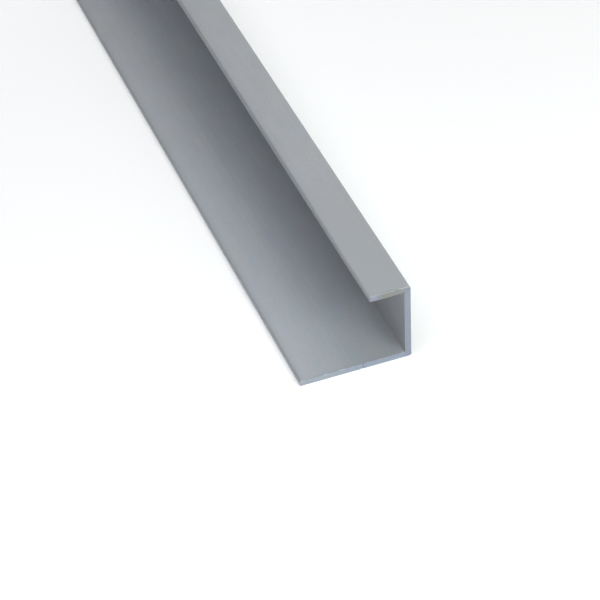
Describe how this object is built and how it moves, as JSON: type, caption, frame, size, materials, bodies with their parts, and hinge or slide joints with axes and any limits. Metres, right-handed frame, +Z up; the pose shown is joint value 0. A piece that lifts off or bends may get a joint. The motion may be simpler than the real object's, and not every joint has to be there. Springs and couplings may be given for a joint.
{
  "type": "aluminium extrusion profile",
  "caption": "Straight length of unequal-leg aluminium channel, J-shaped in section, that caps and trims the edge of a board.",
  "frame": {"origin": "middle of the underside of the long leg's bounding box: half way along the length and half way across the section, on the level that the profile lies on", "axes": "+Z up, away from the long leg's underside; +Y along the length, so -Y is the end that the picture shows; +X across the section towards the outside of the web, with both legs pointing to -X"},
  "size_m": [0.025, 1, 0.0187],
  "materials": {
    "anodised_aluminium": "satin, natural silver anodised, with sawn ends"
  },
  "bodies": {
    "root": {"j_profile": "anodised_aluminium"}
  },
  "joints": []
}
